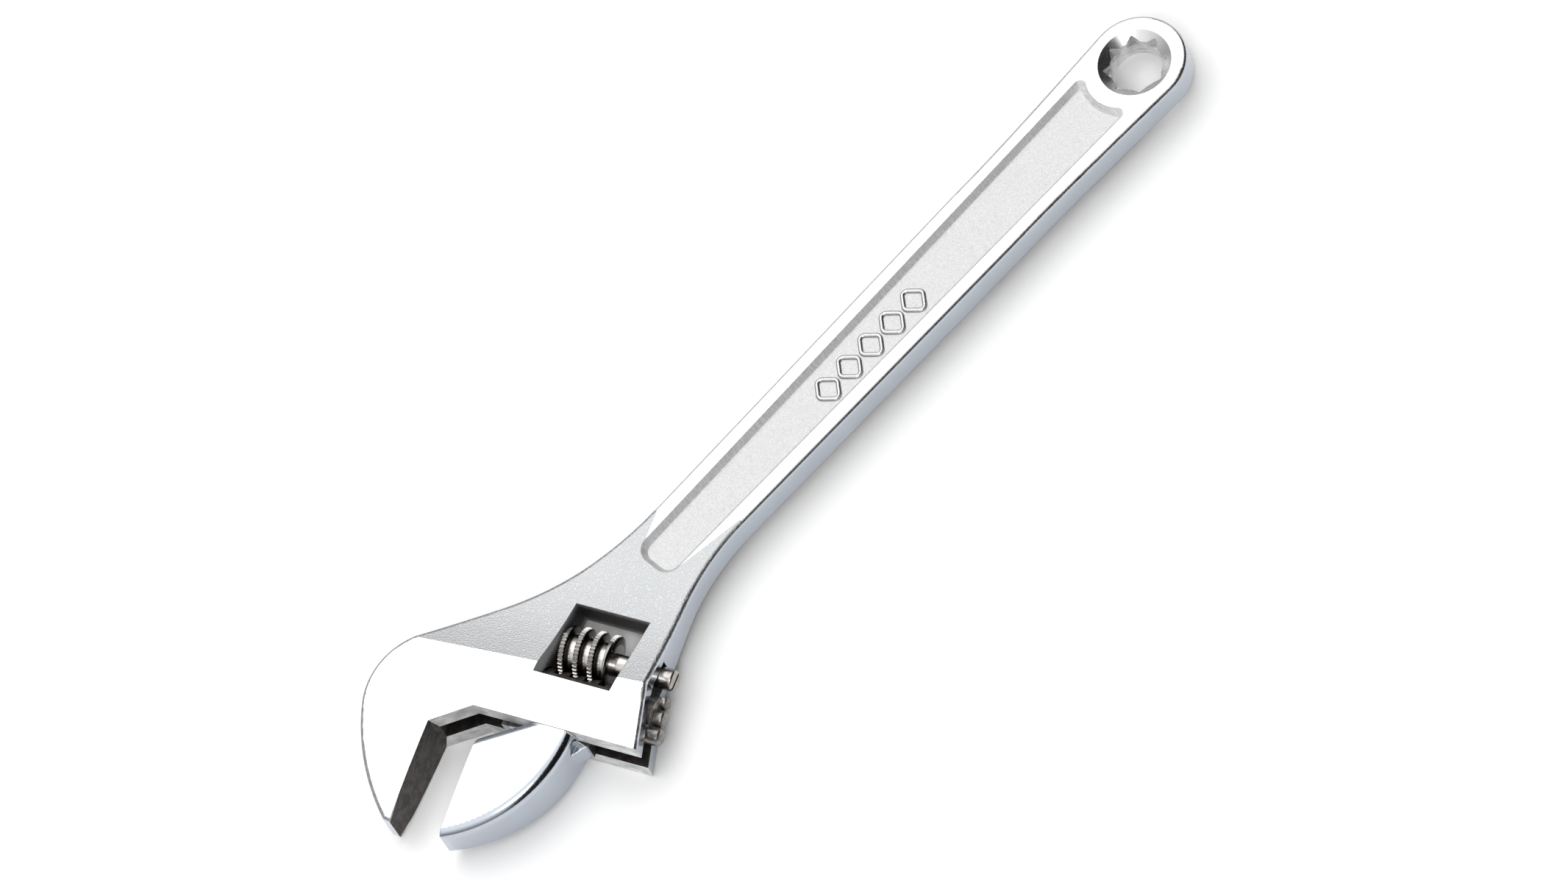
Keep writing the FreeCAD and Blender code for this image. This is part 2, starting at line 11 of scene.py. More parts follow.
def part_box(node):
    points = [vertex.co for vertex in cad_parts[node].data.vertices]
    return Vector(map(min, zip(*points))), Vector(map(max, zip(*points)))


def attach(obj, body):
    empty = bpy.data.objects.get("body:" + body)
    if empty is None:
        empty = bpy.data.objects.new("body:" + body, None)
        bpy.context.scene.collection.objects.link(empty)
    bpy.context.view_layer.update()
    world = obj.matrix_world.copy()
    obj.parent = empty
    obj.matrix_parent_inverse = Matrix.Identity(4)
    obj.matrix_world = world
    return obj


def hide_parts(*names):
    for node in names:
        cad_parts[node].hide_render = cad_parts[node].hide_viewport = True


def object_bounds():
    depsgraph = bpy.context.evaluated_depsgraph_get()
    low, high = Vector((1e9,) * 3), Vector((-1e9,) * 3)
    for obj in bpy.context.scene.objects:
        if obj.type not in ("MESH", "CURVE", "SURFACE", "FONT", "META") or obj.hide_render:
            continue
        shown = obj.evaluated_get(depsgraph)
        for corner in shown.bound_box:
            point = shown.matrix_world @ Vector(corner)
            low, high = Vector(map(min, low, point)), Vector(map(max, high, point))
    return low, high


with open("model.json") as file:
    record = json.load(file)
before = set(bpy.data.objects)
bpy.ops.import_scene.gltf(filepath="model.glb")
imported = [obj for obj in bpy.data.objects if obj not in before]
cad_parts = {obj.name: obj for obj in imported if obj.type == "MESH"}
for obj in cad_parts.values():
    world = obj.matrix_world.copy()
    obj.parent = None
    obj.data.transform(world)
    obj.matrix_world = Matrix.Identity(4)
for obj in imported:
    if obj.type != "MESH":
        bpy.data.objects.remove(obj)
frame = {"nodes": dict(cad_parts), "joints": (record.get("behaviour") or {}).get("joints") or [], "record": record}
CAD_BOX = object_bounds()

bl_info = {
    "name": "Adjustable wrench",
    "version": (1, 0, 0),
    "blender": (4, 5, 0),
    "location": "View3D > Sidebar > Wrench",
    "description": "Finishes and fine pieces of an adjustable wrench",
    "category": "Object",
}

MM = 0.001


# ---- places worked out from the frame -------------------------------------------------------
def joint(name):
    return next(j for j in frame["joints"] if j["name"] == name)


def mount(name):
    return next(m for m in frame["record"]["mounts"] if m["name"] == name)


S_WAY = Vector(joint("jaw_slide")["axis"]).normalized()
Z_WAY = Vector((0, 0, 1))
U_WAY = S_WAY.cross(Z_WAY)
JAW_OPENING = 15 * MM
JAW_DEPTH_MIDDLE = 15 * MM
THROAT = Vector(mount("jaw_gap")["pos_m"]) - U_WAY * JAW_DEPTH_MIDDLE - S_WAY * (JAW_OPENING / 2)
WORM_AXIS = Vector(joint("worm_turn")["pos_m"])
HEAD_HALF_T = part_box("forged_body")[1].z
SLIDE_U = -7.5 * MM       # underside of the head that the jaw slides along
HANDLE_HALF_T = 4.6 * MM
PANEL_FLOOR = 2.7 * MM
U_ANGLE = math.atan2(U_WAY.y, U_WAY.x)


def to_head(point):
    """(u, s, z) of a point: u along the jaw faces, s the way the jaw opens, from the throat."""
    d = point - THROAT
    return d.dot(U_WAY), d.dot(S_WAY), d.z


def from_head(u, s, z):
    return THROAT + U_WAY * u + S_WAY * s + Z_WAY * z


# ---- node maths -----------------------------------------------------------------------------
class Term:
    """A socket of a shader or geometry tree that can be added, multiplied and compared."""

    def __init__(self, tree, socket):
        self.tree, self.socket = tree, socket

    def _math(self, operation, *values):
        made = self.tree.nodes.new("ShaderNodeMath")
        made.operation = operation
        for i, value in enumerate(values):
            if isinstance(value, Term):
                self.tree.links.new(value.socket, made.inputs[i])
            else:
                made.inputs[i].default_value = value
        return Term(self.tree, made.outputs[0])

    def __add__(self, other):
        return self._math("ADD", self, other)

    def __radd__(self, other):
        return self._math("ADD", other, self)

    def __sub__(self, other):
        return self._math("SUBTRACT", self, other)

    def __rsub__(self, other):
        return self._math("SUBTRACT", other, self)

    def __mul__(self, other):
        return self._math("MULTIPLY", self, other)

    def __rmul__(self, other):
        return self._math("MULTIPLY", other, self)

    def __truediv__(self, other):
        return self._math("DIVIDE", self, other)

    def __pow__(self, other):
        return self._math("POWER", self, other)

    def clamp(self):
        return self._math("MINIMUM", self._math("MAXIMUM", self, 0.0), 1.0)

    def rise(self, low, high):
        """0 below low, 1 above high, smooth between them."""
        t = ((self - low) / (high - low)).clamp()
        return t * t * (3.0 - 2.0 * t)


class Finish:
    """A metal material whose nodes are added one call at a time."""

    def __init__(self, name):
        self.material = bpy.data.materials.new(name)
        self.material.use_nodes = True
        self.tree = self.material.node_tree
        self.shader = self.tree.nodes["Principled BSDF"]
        self.set("Metallic", 1.0)

    def node(self, kind, settings=None, inputs=None):
        made = self.tree.nodes.new(kind)
        for key, value in (settings or {}).items():
            setattr(made, key, value)
        for key, value in (inputs or {}).items():
            if isinstance(value, Term):
                self.tree.links.new(value.socket, made.inputs[key])
            else:
                made.inputs[key].default_value = value
        return made

    def term(self, node, output=0):
        return Term(self.tree, node.outputs[output])

    def set(self, socket, value):
        if isinstance(value, Term):
            self.tree.links.new(value.socket, self.shader.inputs[socket])
        else:
            self.shader.inputs[socket].default_value = value

    def place(self, scale=(1, 1, 1), turn=(0, 0, 0)):
        """Object coordinates, turned and stretched."""
        where = self.node("ShaderNodeTexCoord")
        return self.term(self.node("ShaderNodeMapping", None, {
            "Vector": self.term(where, "Object"), "Rotation": turn, "Scale": scale}))

    def noise(self, per_metre, detail=3.0, rough=0.55, place=None):
        return self.term(self.node("ShaderNodeTexNoise", None, {
            "Vector": place or self.place(), "Scale": per_metre, "Detail": detail, "Roughness": rough}))

    def cells(self, per_metre):
        return self.term(self.node("ShaderNodeTexVoronoi", {"feature": "SMOOTH_F1"}, {
            "Vector": self.place(), "Scale": per_metre, "Smoothness": 0.6}), "Distance")

    def mix(self, factor, a, b):
        """A colour between two colours."""
        made = self.node("ShaderNodeMix", {"data_type": "RGBA"})
        for index, value in ((0, factor), (6, a), (7, b)):
            if isinstance(value, Term):
                self.tree.links.new(value.socket, made.inputs[index])
            else:
                made.inputs[index].default_value = value if index == 0 else (*value, 1.0)
        return Term(self.tree, made.outputs[2])

    def relief(self, height, depth, soft_edge=0.0):
        """Bump of a height from 0 to 1 over a depth in metres, on softened edges."""
        bump = self.node("ShaderNodeBump", None, {"Height": height, "Distance": depth, "Strength": 1.0})
        if soft_edge:
            edge = self.node("ShaderNodeBevel", {"samples": 6}, {"Radius": soft_edge})
            self.tree.links.new(edge.outputs[0], bump.inputs["Normal"])
        self.tree.links.new(bump.outputs[0], self.shader.inputs["Normal"])


def grey(value, blue=0.0):
    return (value - blue, value, value + blue)


# ---- finishes -------------------------------------------------------------------------------
def mirror_ground(looks):
    """Ground and polished plating: a near mirror with faint streaks across the jaws."""
    f = Finish("mirror_ground_chrome")
    streaks = f.noise(1.0, 4.0, 0.6, f.place(scale=(900, 60, 60), turn=(0, 0, -U_ANGLE)))
    cloud = f.noise(35.0)
    f.set("Base Color", f.mix(
        cloud.rise(0.35, 0.7), grey(looks.mirror, 0.006), grey(looks.mirror * 0.95, 0.008)))
    f.set("Roughness", 0.045 + 0.05 * streaks.rise(0.45, 0.8) + 0.03 * cloud)
    f.relief(streaks, 0.4e-6, 0.25 * MM)
    return f.material


def smooth_plate(looks):
    """Plating over the buffed outer walls and rims, a little wavy."""
    f = Finish("smooth_plated_chrome")
    wave = f.noise(90.0, 2.0)
    pits = f.noise(2500.0, 2.0).rise(0.62, 0.75)
    # the walls' darker, bluish colour is the plating's grey with a painted reflection of the shaded floor
    f.set("Base Color", f.mix(wave, looks.wall, [c * 0.88 for c in looks.wall]))
    f.set("Roughness", 0.12 + 0.08 * wave + 0.2 * pits)
    f.relief(wave - 0.04 * pits, 0.02 * MM, 0.35 * MM)
    return f.material


def rim_plate(looks):
    """Brighter, softer plating on the flat rims and the round end."""
    f = Finish("bright_rim_chrome")
    wave = f.noise(120.0, 3.0)
    grain = f.noise(1800.0, 2.0)
    f.set("Base Color", f.mix(wave, grey(looks.rim), grey(looks.rim * 0.93, 0.004)))
    f.set("Roughness", 0.22 + 0.1 * grain)
    f.relief(0.75 * wave + 0.06 * grain, 0.03 * MM, 0.3 * MM)
    return f.material


def satin_forging(looks):
    """Blasted neck: rounded pebbles under plating, darker in the pits."""
    f = Finish("satin_forged_chrome")
    pebble = f.cells(looks.pebbles_per_metre)
    fine = f.noise(2600.0, 3.0, 0.6)
    broad = f.noise(60.0, 2.0)
    height = 0.65 * pebble.rise(0.1, 0.6) + 0.35 * fine
    f.set("Base Color", f.mix(height.rise(0.3, 0.7), grey(looks.satin), grey(looks.satin * 0.78, 0.008)))
    f.set("Roughness", 0.26 + 0.14 * fine + 0.06 * broad)
    f.relief(1.0 - height, looks.pebble_depth, 0.3 * MM)
    return f.material


def window_wall(looks):
    """Walls of the worm's window: blasted at the mouth, darkened further in with painted shade."""
    f = Finish("window_wall_chrome")
    split = f.node("ShaderNodeSeparateXYZ", None, {0: f.place()})
    z = f.term(split, 2)
    depth = HEAD_HALF_T - (z * z) ** 0.5
    grain = f.noise(2000.0, 3.0, 0.6)
    # painted shade: the walls' colour darkens with depth into the window
    dark = (depth + 2.5 * MM * (grain - 0.5)).rise(1.5 * MM, 6.5 * MM)
    f.set("Base Color", f.mix(dark, grey(looks.satin * 1.2, 0.01), [c * 0.35 for c in looks.interior]))
    f.set("Roughness", 0.44 + 0.2 * grain)
    f.set("Metallic", 0.5)
    f.relief(grain, looks.pebble_depth, 0.4 * MM)
    return f.material


def blasted_floor(looks):
    """Panel floor: sharper, finer speckle than the neck."""
    f = Finish("blasted_panel_floor")
    speck = f.noise(3600.0, 4.0, 0.7)
    pebble = f.cells(looks.pebbles_per_metre * 1.2)
    height = 0.5 * speck + 0.5 * pebble.rise(0.1, 0.6)
    f.set("Base Color", f.mix(speck.rise(0.35, 0.68), grey(looks.floor), grey(looks.floor * 0.8)))
    f.set("Roughness", 0.36 + 0.16 * speck)
    f.relief(height, looks.pebble_depth, 0.25 * MM)
    return f.material


def relief_plate(looks):
    """Raised beads on the panel floor, rubbed brighter than the floor round them."""
    f = Finish("relief_chrome")
    grain = f.noise(2400.0, 3.0, 0.6)
    f.set("Base Color", f.mix(grain.rise(0.4, 0.7), grey(looks.floor * 1.1), grey(looks.floor * 0.85)))
    f.set("Roughness", 0.24 + 0.16 * grain)
    f.relief(grain, looks.pebble_depth * 0.4)
    return f.material


def panel_wall(looks):
    """Sloping walls of the panel: drawn down, streaked and darker."""
    f = Finish("panel_wall_chrome")
    streak = f.noise(1.0, 3.0, 0.7, f.place(scale=(2600, 500, 500)))
    f.set("Base Color", f.mix(streak.rise(0.3, 0.7), grey(looks.panel_wall), grey(looks.panel_wall * 0.72)))
    f.set("Roughness", 0.5 + 0.12 * streak)
    f.set("Metallic", 0.4)
    f.relief(streak, 0.025 * MM, 0.3 * MM)
    return f.material


def machined_face(looks):
    """Milled jaw faces and throat: unpolished plating with cutter lines."""
    f = Finish("milled_jaw_steel")
    lines = f.noise(1.0, 3.0, 0.65, f.place(scale=(260, 260, 3200)))
    blotch = f.noise(220.0, 3.0)
    tone = 0.5 * lines + 0.5 * blotch
    f.set("Base Color", f.mix(tone.rise(0.35, 0.65), grey(looks.machined), grey(looks.machined * 0.5)))
    f.set("Roughness", 0.42 + 0.18 * lines)
    f.set("Metallic", 0.35)
    f.relief(0.5 * lines + 0.5 * f.noise(1900.0, 3.0, 0.6), 0.035 * MM, 0.2 * MM)
    return f.material


def dark_interior(looks):
    """Inside the slot, bore and window: rough and dark, a painted shade for the recesses."""
    f = Finish("shade_painted_dark_steel")
    blotch = f.noise(400.0, 5.0, 0.7)
    grain = f.noise(2400.0, 3.0)
    # painted shade: the inside of the slot and bore gets a near-black colour
    f.set("Base Color", f.mix(blotch.rise(0.35, 0.65), looks.interior, [c * 0.45 for c in looks.interior]))
    f.set("Roughness", 0.38 + 0.25 * grain)
    f.relief(0.6 * blotch + 0.4 * grain, 0.05 * MM, 0.15 * MM)
    return f.material


def rack_steel(looks):
    """The rack: warm grey steel, worn bright on its edges."""
    f = Finish("worn_rack_steel")
    blotch = f.noise(500.0, 4.0, 0.65)
    grain = f.noise(2600.0, 2.0)
    f.set("Base Color", f.mix(blotch.rise(0.4, 0.65), looks.rack, [c * 0.5 for c in looks.rack]))
    f.set("Roughness", 0.24 + 0.22 * blotch)
    f.relief(0.7 * blotch + 0.3 * grain, 0.04 * MM, 0.3 * MM)
    return f.material


def worm_steel(looks):
    """Turned worm: the crests in the steel's colour, a painted highlight on the groove's floor and painted shade
    on the flanks between.
    """
    f = Finish("turned_worm_steel")
    split = f.node("ShaderNodeSeparateXYZ", None, {0: f.place()})
    x, y, z = (f.term(split, i) for i in range(3))
    dx, dy = x - WORM_AXIS.x, y - WORM_AXIS.y
    across = dx * U_WAY.x + dy * U_WAY.y
    radius = (across * across + z * z) ** 0.5
    # painted highlight on the groove's floor; the flanks between it and the crests get painted shade
    floor = 1.0 - radius.rise(5.35 * MM, 5.9 * MM)
    crest = radius.rise(7.3 * MM, 7.9 * MM)
    grime = f.noise(700.0, 4.0, 0.65)
    tone = (floor + crest + 0.4 * (grime - 0.5)).clamp()
    f.set("Base Color", f.mix(tone, [c * 0.16 for c in looks.worm], looks.worm))
    f.set("Roughness", 0.16 + 0.12 * crest + 0.1 * grime)
    f.relief(grime, 0.01 * MM, 0.08 * MM)
    return f.material


def plated_small(name, colour, rough):
    """Pin, spring and washer: plated, with light handling marks."""
    f = Finish(name)
    marks = f.noise(900.0, 3.0, 0.6)
    f.set("Base Color", f.mix(marks.rise(0.35, 0.7), colour, [c * 0.72 for c in colour]))
    f.set("Roughness", rough + 0.12 * marks)
    f.relief(marks, 0.02 * MM, 0.2 * MM)
    return f.material


# ---- which finish a face of the CAD pieces has ----------------------------------------------
# where the finishes change, as (low, high) in millimetres
PANEL_X, PANEL_Y = (11, 191), (-9.6, 9.6)
WINDOW_U, WINDOW_S = (-46.0, -19.2), (20.6, 47.4)
JAW_FACES_U, JAW_FACES_S = (-8.5, math.inf), (-0.5, math.inf)
WAYS_U, WAYS_S, WAYS_Z = (-27, 8), (-8.5, math.inf), (-5.5, 5.5)
SLOT_Z, GROOVE_Z = (-3.15, 3.15), (-3.3, 3.3)
PANEL_END_X = 192 * MM
NECK_X = 165 * MM         # the blasted neck starts here
END_FACE_S = 52 * MM      # past the head's end only the groove is dark
WALLED_U, WALLED_S = -22.7 * MM, 20 * MM     # outside the blind bore
SOCKET_R = 9.4 * MM
RACK_END_S = 50 * MM      # the rack shows from here on
TAPER_R = 228.0 * MM      # the ground faces curve in to the tips
NEAR = 0.05 * MM
STEEP, SLOPING, LEVEL, FLAT = 0.5, 0.3, 0.97, 0.99     # size of a normal's z


def inside(value, limits):
    return limits[0] * MM < value < limits[1] * MM


def ground_height(u):
    """Half thickness of the ground faces, thinner from the slide to the tips."""
    if u < SLIDE_U:
        return HEAD_HALF_T
    return HEAD_HALF_T - TAPER_R + math.sqrt(TAPER_R ** 2 - (u - SLIDE_U) ** 2)


def on_ground_face(u, z, normal):
    return abs(normal.z) > LEVEL and abs(abs(z) - ground_height(u)) < NEAR


def in_ways(u, s, z):
    """Inside the bore and slot that the rack and web run in, or the end face's groove."""
    walled = u < WALLED_U and s < WALLED_S
    shut = s < END_FACE_S or inside(z, GROOVE_Z)
    return inside(u, WAYS_U) and inside(s, WAYS_S) and inside(z, WAYS_Z) and shut and not walled


def body_zone(point, normal):
    """The finish of one face of the forged body."""
    u, s, z = to_head(point)
    steep = abs(normal.z) < STEEP
    if on_ground_face(u, z, normal):
        return "mirror"
    if abs(z) < PANEL_FLOOR + NEAR and abs(normal.z) > FLAT and point.x < PANEL_END_X:
        return "floor"
    in_panel = inside(point.x, PANEL_X) and inside(point.y, PANEL_Y)
    if in_panel and SLOPING < abs(normal.z) < LEVEL and PANEL_FLOOR < abs(z) < HANDLE_HALF_T:
        return "panel_wall"
    if steep and inside(u, WINDOW_U) and inside(s, WINDOW_S):
        return "window"
    if steep and inside(u, JAW_FACES_U) and inside(s, JAW_FACES_S) and abs(z) < HEAD_HALF_T:
        return "interior" if inside(z, SLOT_Z) else "machined"
    if in_ways(u, s, z):
        return "interior"
    if steep and Vector((point.x, point.y)).length < SOCKET_R:
        return "machined"
    if steep:
        return "wall"
    return "rim" if point.x < NECK_X else "satin"


def jaw_zone(point, normal):
    """The finish of one face of the movable jaw."""
    u, s, z = to_head(point)
    if on_ground_face(u, z, normal):
        return "mirror"
    if u < SLIDE_U - 0.1 * MM:
        return "rack" if s > RACK_END_S else "interior"
    if normal.dot(S_WAY) < -0.6 or abs(u - SLIDE_U) < 0.6 * MM:
        return "machined"
    return "wall"


def finish_faces(node, zone_of, finishes):
    """Gives every face of a CAD piece the finish of its zone."""
    mesh = frame["nodes"][node].data
    mesh.materials.clear()
    order = list(finishes)
    for name in order:
        mesh.materials.append(finishes[name])
    for face in mesh.polygons:
        face.material_index = order.index(zone_of(face.center, face.normal))


# ---- mesh helpers ---------------------------------------------------------------------------
def new_piece(name, mesh, body, material):
    """Links a mesh as a piece that rides on a body."""
    piece = bpy.data.objects.new(name, mesh)
    bpy.context.scene.collection.objects.link(piece)
    mesh.materials.clear()
    mesh.materials.append(material)
    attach(piece, body)
    return piece


def ring_mesh(name, rings, around):
    """A closed mesh of rings about the worm's axis. Each ring gives (radius, s) for an angle."""
    bm = bmesh.new()
    u0, _, z0 = to_head(WORM_AXIS)
    table = []
    for ring in rings:
        row = []
        for i in range(around):
            angle = 2 * math.pi * i / around
            radius, s = ring(angle)
            u, z = u0 + radius * math.cos(angle), z0 - radius * math.sin(angle)
            row.append(bm.verts.new(from_head(u, s, z)))
        table.append(row)
    for a, row in enumerate(table):
        above = table[(a + 1) % len(table)]
        for i in range(around):
            j = (i + 1) % around
            bm.faces.new((row[i], row[j], above[j], above[i]))
    bmesh.ops.recalc_face_normals(bm, faces=bm.faces)
    mesh = bpy.data.meshes.new(name)
    bm.to_mesh(mesh)
    bm.free()
    return mesh


# ---- settings -------------------------------------------------------------------------------
def colour_of(default, name, description):
    return bpy.props.FloatVectorProperty(
        name=name, description=description, size=3, subtype="COLOR", min=0, max=1, default=default)


def brightness_of(default, name, description):
    return bpy.props.FloatProperty(
        name=name, description=description, default=default, min=0, max=1, subtype="FACTOR")


def length_of(default, name, description):
    return bpy.props.FloatProperty(
        name=name, description=description, default=default, unit="LENGTH", subtype="DISTANCE")


class WrenchFinishes(bpy.types.PropertyGroup):
    mirror: brightness_of(0.8, "Mirror", "Brightness of the ground faces")
    rim: brightness_of(0.74, "Rims", "Brightness of the handle's rims")
    satin: brightness_of(0.46, "Satin", "Brightness of the blasted neck")
    floor: brightness_of(0.5, "Panel floor", "Brightness of the panel floor")
    panel_wall: brightness_of(0.8, "Panel wall", "Brightness of the panel's walls")
    machined: brightness_of(0.85, "Machined", "Brightness of the milled faces")
    # the bluish tint is a painted reflection of the shaded floor beside the wrench
    wall: colour_of((0.54, 0.58, 0.64), "Outer walls", "Colour of the smooth outer walls")
    # the inside's near-black colour is painted shade
    interior: colour_of((0.11, 0.1, 0.095), "Interior", "Colour inside the slot and window")
    rack: colour_of((0.3, 0.285, 0.27), "Rack", "Colour of the rack")
    worm: colour_of((0.5, 0.48, 0.46), "Worm", "Colour of the worm's crests")
    pebbles_per_metre: bpy.props.FloatProperty(
        name="Pebbles", description="Blasted pebbles per metre", default=2100, min=200, max=6000)
    pebble_depth: bpy.props.FloatProperty(
        name="Pebble depth", description="Depth of the blasted grain", default=0.05 * MM, min=0, max=MM,
        subtype="DISTANCE", unit="LENGTH")


class WormShape(bpy.types.PropertyGroup):
    lead: length_of(4.4 * MM, "Lead", "Travel of the jaw for one turn")
    root: length_of(5.3 * MM, "Root", "Radius at the bottom of the groove")
    crest: length_of(1.5 * MM, "Crest", "Width of the crest")
    knurl_depth: length_of(0.45 * MM, "Knurl depth", "Height of the knurl's teeth")
    knurl_per_turn: bpy.props.IntProperty(
        name="Knurl", description="Knurl teeth in one turn", default=46, min=12, max=120)


class ReliefShape(bpy.types.PropertyGroup):
    count: bpy.props.IntProperty(
        name="Lozenges", description="Raised lozenges in the row", default=5, min=1, max=12)
    pitch: length_of(8.4 * MM, "Pitch", "Distance between the lozenges")
    height: length_of(9.4 * MM, "Height", "Height of a lozenge across the panel")
    width: length_of(7.4 * MM, "Width", "Width of a lozenge along the panel")
    bead: length_of(0.68 * MM, "Bead", "Half width of the raised bead")
    middle: length_of(106.0 * MM, "Middle", "Distance of the row's middle from the end hole")
    side: length_of(0.9 * MM, "Side", "How far the row stands off the handle's middle line")


class StageSettings(bpy.types.PropertyGroup):
    floor: colour_of((0.97, 0.97, 0.97), "Floor", "Colour of the floor")
    key: bpy.props.FloatProperty(
        name="Key", description="Power of the overhead light", default=7.0, min=0, subtype="POWER")
    sky: bpy.props.FloatProperty(name="Sky", description="Brightness of the sky overhead", default=1.7, min=0)
    distance: bpy.props.FloatProperty(
        name="Camera distance", description="How far the camera stands", default=2.4, unit="LENGTH",
        subtype="DISTANCE")
    view_width: bpy.props.FloatProperty(
        name="View width", description="Width that the camera takes in at the wrench", default=0.4195,
        unit="LENGTH", subtype="DISTANCE")


# ---- operators ------------------------------------------------------------------------------
class WRENCH_OT_forged_body(bpy.types.Operator):
    """Finishes of the forged handle and head"""
    bl_idname = "wrench.forged_body"
    bl_label = "Forged body"

    def execute(self, context):
        looks = context.scene.wrench_finishes
        finish_faces("forged_body", body_zone, {
            "mirror": mirror_ground(looks), "rim": rim_plate(looks), "wall": smooth_plate(looks),
            "satin": satin_forging(looks), "floor": blasted_floor(looks), "panel_wall": panel_wall(looks),
            "machined": machined_face(looks), "interior": dark_interior(looks), "window": window_wall(looks)})
        return {"FINISHED"}


class WRENCH_OT_movable_jaw(bpy.types.Operator):
    """Finishes of the movable jaw and its rack"""
    bl_idname = "wrench.movable_jaw"
    bl_label = "Movable jaw"

    def execute(self, context):
        looks = context.scene.wrench_finishes
        finish_faces("movable_jaw", jaw_zone, {
            "mirror": bpy.data.materials["mirror_ground_chrome"],
            "wall": bpy.data.materials["smooth_plated_chrome"],
            "machined": bpy.data.materials["milled_jaw_steel"],
            "interior": bpy.data.materials["shade_painted_dark_steel"],
            "rack": rack_steel(looks)})
        return {"FINISHED"}


FLANK = math.radians(14.5)
CHAMFER = 0.5 * MM
POCKET_R, POCKET_DEPTH = 3.35 * MM, 7.5 * MM
CREST_OFFSET = 2.2 * MM   # from the barrel's start to the crest that faces the rack
AROUND, ALONG = 240, 110  # corners of the barrel round and along


class WormMeasures:
    """Lengths and radii read off the plain CAD worm."""

    def __init__(self):
        axis_u, _, axis_z = to_head(WORM_AXIS)
        spots = [to_head(v.co) for v in frame["nodes"]["worm"].data.vertices]
        rounds = [(math.hypot(u - axis_u, z - axis_z), s) for u, s, z in spots]
        self.axis_u = axis_u
        self.start = min(s for _, s in rounds)
        self.hub_end = max(s for _, s in rounds)
        self.radius = max(r for r, _ in rounds)
        self.bore = min(r for r, _ in rounds)
        self.end = max(s for r, s in rounds if r > 0.6 * self.radius)
        self.hub = max(r for r, s in rounds if s > self.hub_end - 0.1 * MM)
        self.crest_s = self.start + CREST_OFFSET
        self.pocket_end = self.start + POCKET_DEPTH


def worm_rings(shape, worm):
    """Rings from the pocket's mouth over the threaded barrel and hub and back through the bore."""
    crown = worm.radius - shape.knurl_depth
    flank = (crown - shape.root) * math.tan(FLANK)
    soft = 0.1 * MM

    def surface(s):
        def ring(angle):
            phase = (s - worm.crest_s - shape.lead * angle / (2 * math.pi)) % shape.lead
            off = min(phase, shape.lead - phase)
            t = (off - (shape.crest / 2 - soft)) / (flank + 2 * soft)
            t = min(max(t, 0), 1)
            t = t * t * (3 - 2 * t)
            trim = max(0.0, CHAMFER - min(s - worm.start, worm.end - s))
            return crown - (crown - shape.root) * t - trim, s
        return ring

    def plain(radius, s):
        return lambda angle: (radius, s)

    length = worm.end - worm.start
    return [
        plain(POCKET_R, worm.start),
        *(surface(worm.start + length * i / ALONG) for i in range(ALONG + 1)),
        plain(worm.hub, worm.end),
        plain(worm.hub, worm.hub_end - CHAMFER),
        plain(worm.hub - 0.15 * MM, worm.hub_end - 0.15 * MM),
        plain(worm.hub - CHAMFER, worm.hub_end),
        plain(worm.bore, worm.hub_end),
        plain(worm.bore, worm.pocket_end),
        plain(POCKET_R, worm.pocket_end),
    ]


class Builder:
    """A geometry tree with named inputs, ending in Realize Instances and Set Material."""

    def __init__(self, name, inputs):
        self.tree = bpy.data.node_groups.new(name, "GeometryNodeTree")
        for label, kind in inputs.items():
            self.tree.interface.new_socket(label, in_out="INPUT", socket_type=kind)
        self.tree.interface.new_socket("Geometry", in_out="OUTPUT", socket_type="NodeSocketGeometry")
        self.enter = self.tree.nodes.new("NodeGroupInput")

    def value(self, label):
        return Term(self.tree, self.enter.outputs[label])

    def node(self, kind, settings=None, inputs=None, output=0):
        made = self.tree.nodes.new(kind)
        for key, value in (settings or {}).items():
            setattr(made, key, value)
        for key, value in (inputs or {}).items():
            if isinstance(value, Term):
                self.tree.links.new(value.socket, made.inputs[key])
            else:
                made.inputs[key].default_value = value
        return Term(self.tree, made.outputs[output])

    def finish(self, instances, material):
        real = self.node("GeometryNodeRealizeInstances", None, {0: instances})
        painted = self.node("GeometryNodeSetMaterial", None, {"Geometry": real, "Material": material})
        leave = self.tree.nodes.new("NodeGroupOutput")
        self.tree.links.new(painted.socket, leave.inputs[0])
        return self.tree


def knurl_tree(tooth, material):
    """Teeth set round the crest's helix, one after the other."""
    b = Builder("knurled_crest", {
        "Lead": "NodeSocketFloat", "Radius": "NodeSocketFloat", "Turns": "NodeSocketFloat",
        "Teeth per turn": "NodeSocketInt"})
    radius, turns = b.value("Radius"), b.value("Turns")
    spiral = b.node("GeometryNodeCurveSpiral", None, {
        "Resolution": 64, "Rotations": turns, "Start Radius": radius, "End Radius": radius,
        "Height": b.value("Lead") * turns, "Reverse": True})
    points = b.node("GeometryNodeCurveToPoints", {"mode": "COUNT"}, {
        0: spiral, "Count": b.value("Teeth per turn") * turns})
    outward = b.node("ShaderNodeVectorMath", {"operation": "MULTIPLY"}, {
        0: b.node("GeometryNodeInputPosition"), 1: (1, 1, 0)})
    facing = b.node("FunctionNodeAlignRotationToVector", {"axis": "X", "pivot_axis": "Z"}, {
        "Vector": outward})
    shown = b.node("GeometryNodeObjectInfo", None, {"Object": tooth}, "Geometry")
    placed = b.node("GeometryNodeInstanceOnPoints", None, {
        "Points": points, "Instance": shown, "Rotation": facing})
    return b.finish(placed, material)


